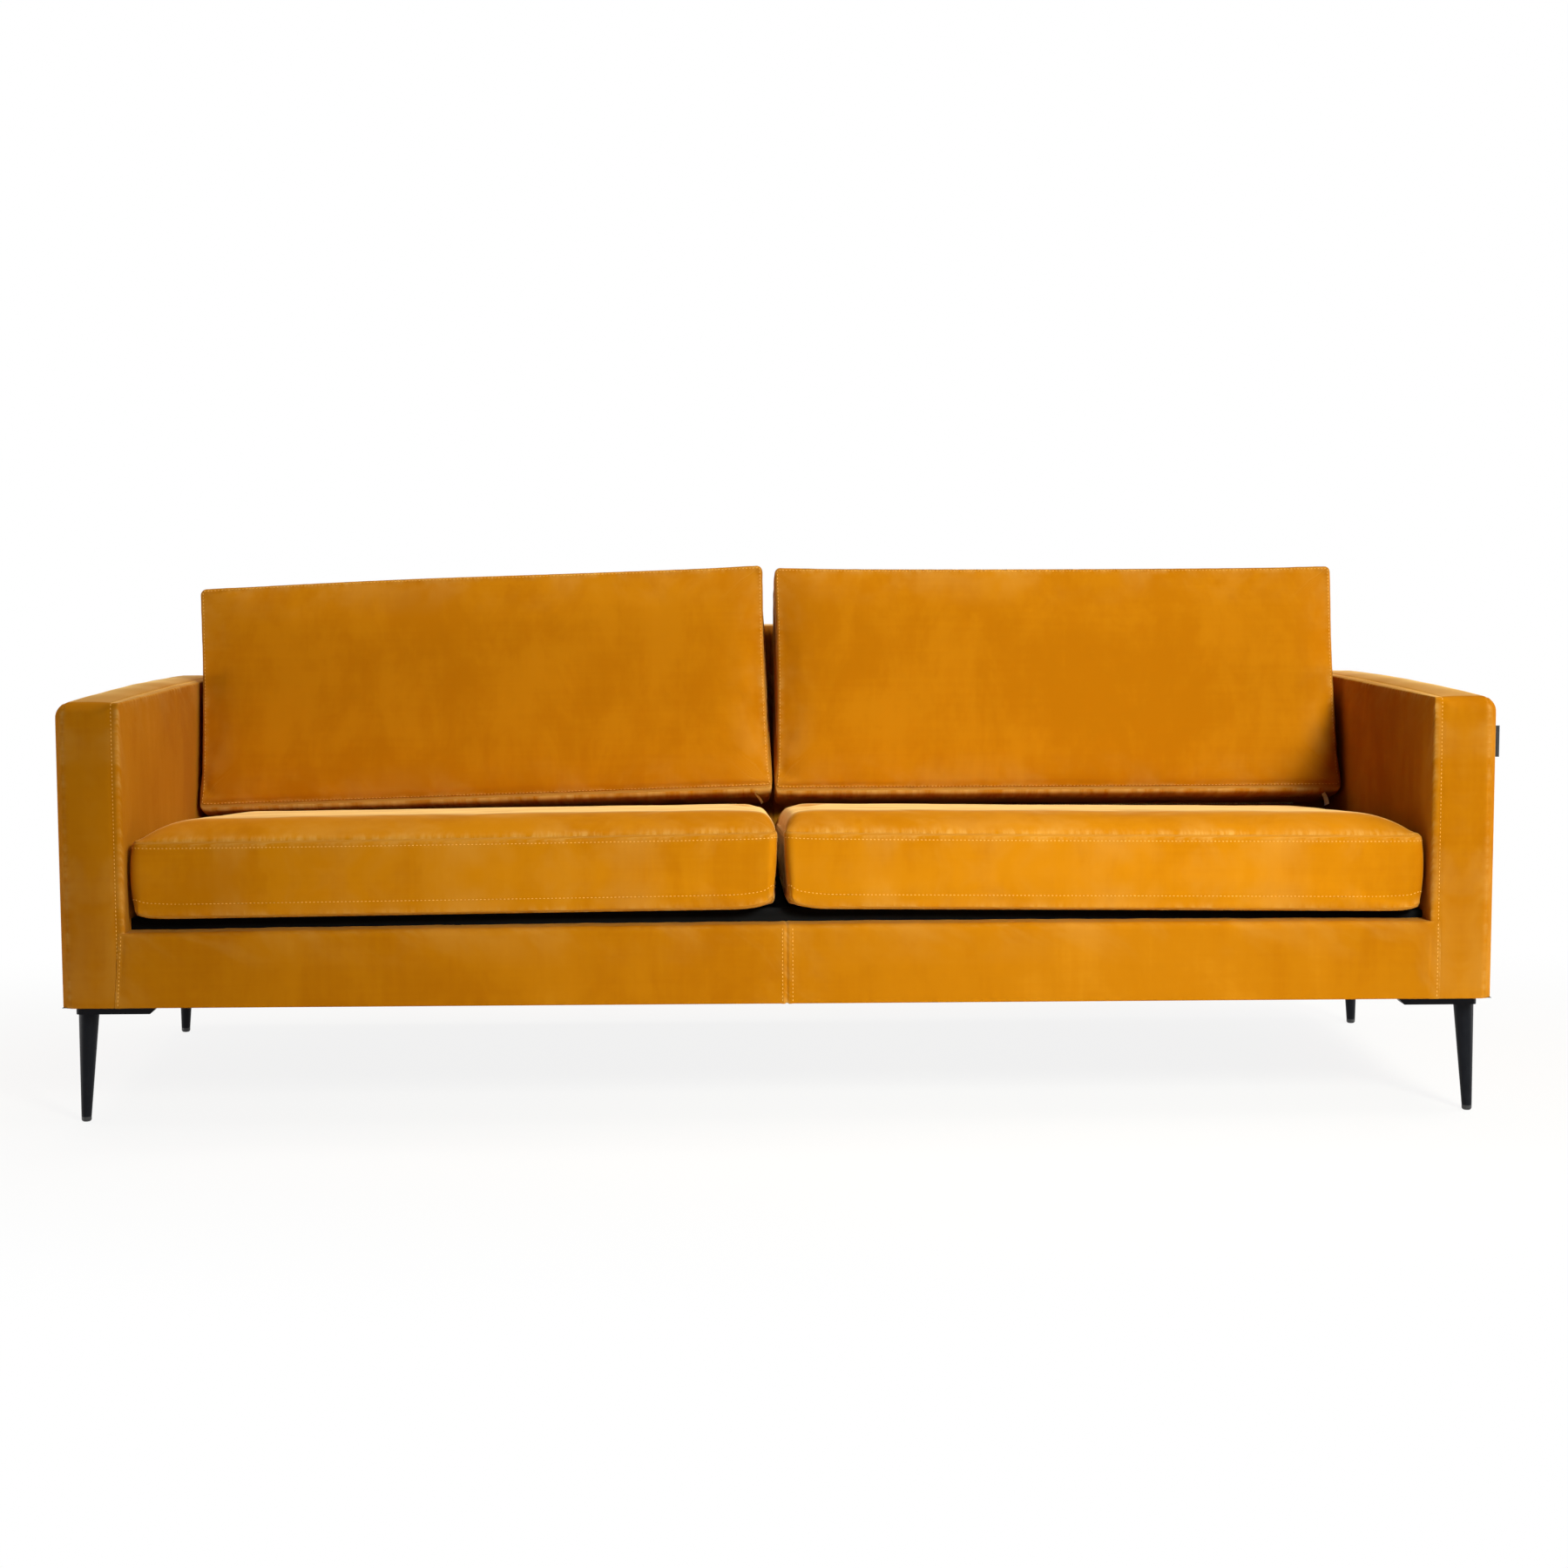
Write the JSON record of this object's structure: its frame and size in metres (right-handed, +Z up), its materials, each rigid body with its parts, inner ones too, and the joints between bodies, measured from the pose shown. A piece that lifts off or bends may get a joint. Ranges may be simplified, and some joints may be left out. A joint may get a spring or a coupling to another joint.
{
  "type": "sofa",
  "caption": "Velvet sofa with slim square arms, loose seat and back cushions, a sprung timber frame and tapered metal legs.",
  "frame": {"origin": "on the floor under the middle of the sofa's width and depth", "axes": "+X to the sofa's right as seen from the front, +Y to its back, +Z up; the sofa faces -Y"},
  "size_m": [2.197, 0.88, 0.8513],
  "materials": {
    "velvet": "matte",
    "black_cloth": "matte",
    "timber": "matte",
    "board": "matte",
    "foam": "matte",
    "webbing": "matte",
    "spring_steel": "satin",
    "fastener_steel": "satin",
    "black_metal": "satin",
    "glide_plastic": "matte",
    "zip_tape": "matte",
    "zip_metal": "satin",
    "white_satin": "satin",
    "black_woven": "matte"
  },
  "bodies": {
    "frame": {"arm_bottom_rail_left": "timber", "arm_bottom_rail_right": "timber", "arm_cover_left": "velvet", "arm_cover_right": "velvet", "arm_foam_left": "foam", "arm_foam_right": "foam", "arm_inner_panel_left": "board", "arm_inner_panel_right": "board", "arm_outer_panel_left": "board", "arm_outer_panel_right": "board", "arm_posts_left": "timber", "arm_posts_right": "timber", "back_foam": "foam", "back_rails": "timber", "back_stiles": "timber", "back_webbing": "webbing", "base_end_board_left": "timber", "base_end_board_right": "timber", "bracket_screws": "fastener_steel", "centre_stretcher": "timber", "corner_blocks": "timber", "deck_cloth": "black_cloth", "deck_pad": "foam", "dust_cover": "black_cloth", "frame_bolts": "fastener_steel", "front_board": "timber", "front_rail_cover": "velvet", "front_rail_foam": "foam", "inside_back_cover": "velvet", "leg_brackets": "black_metal", "leg_front_left": "black_metal", "leg_front_right": "black_metal", "leg_glides": "glide_plastic", "leg_rear_left": "black_metal", "leg_rear_right": "black_metal", "outside_back_cover": "velvet", "outside_back_panel": "board", "seat_springs": "spring_steel", "side_tab": "black_woven", "spring_clips": "spring_steel", "spring_rails": "timber"},
    "seat_cushion_left": {"seat_cushion_cover_left": "velvet", "seat_cushion_core_left": "foam", "seat_cushion_zip_left": "zip_tape"},
    "back_cushion_left": {"back_cushion_cover_left": "velvet", "back_cushion_core_left": "foam", "back_cushion_zip_left": "zip_tape", "care_label_left": "white_satin"},
    "seat_slider_left": {"seat_zip_slider_left": "zip_metal"},
    "back_slider_left": {"back_zip_slider_left": "zip_metal"},
    "seat_cushion_right": {"seat_cushion_cover_right": "velvet", "seat_cushion_core_right": "foam", "seat_cushion_zip_right": "zip_tape"},
    "back_cushion_right": {"back_cushion_cover_right": "velvet", "back_cushion_core_right": "foam", "back_cushion_zip_right": "zip_tape", "care_label_right": "white_satin"},
    "seat_slider_right": {"seat_zip_slider_right": "zip_metal"},
    "back_slider_right": {"back_zip_slider_right": "zip_metal"}
  },
  "joints": [
    {"name": "seat_cushion_left_pull", "type": "slide", "parent": "frame", "child": "seat_cushion_left", "axis": [0, -0.999, 0.0436], "range_m": [0, 0.65]},
    {"name": "back_cushion_left_lift", "type": "slide", "parent": "frame", "child": "back_cushion_left", "axis": [0, 0.2504, 0.9681], "range_m": [0, 0.43]},
    {"name": "seat_zip_left_slide", "type": "slide", "parent": "seat_cushion_left", "child": "seat_slider_left", "axis": [0.9999, 0.0004, 0.0101], "range_m": [0, 0.82]},
    {"name": "back_zip_left_slide", "type": "slide", "parent": "back_cushion_left", "child": "back_slider_left", "axis": [0.9996, 0.0074, 0.0287], "range_m": [0, 0.82]},
    {"name": "seat_cushion_right_pull", "type": "slide", "parent": "frame", "child": "seat_cushion_right", "axis": [0, -0.999, 0.0436], "range_m": [0, 0.65]},
    {"name": "back_cushion_right_lift", "type": "slide", "parent": "frame", "child": "back_cushion_right", "axis": [0, 0.2504, 0.9681], "range_m": [0, 0.43]},
    {"name": "seat_zip_right_slide", "type": "slide", "parent": "seat_cushion_right", "child": "seat_slider_right", "axis": [0.9999, -0.0004, -0.0101], "range_m": [0, 0.82]},
    {"name": "back_zip_right_slide", "type": "slide", "parent": "back_cushion_right", "child": "back_slider_right", "axis": [1, 0, 0], "range_m": [0, 0.82]}
  ]
}
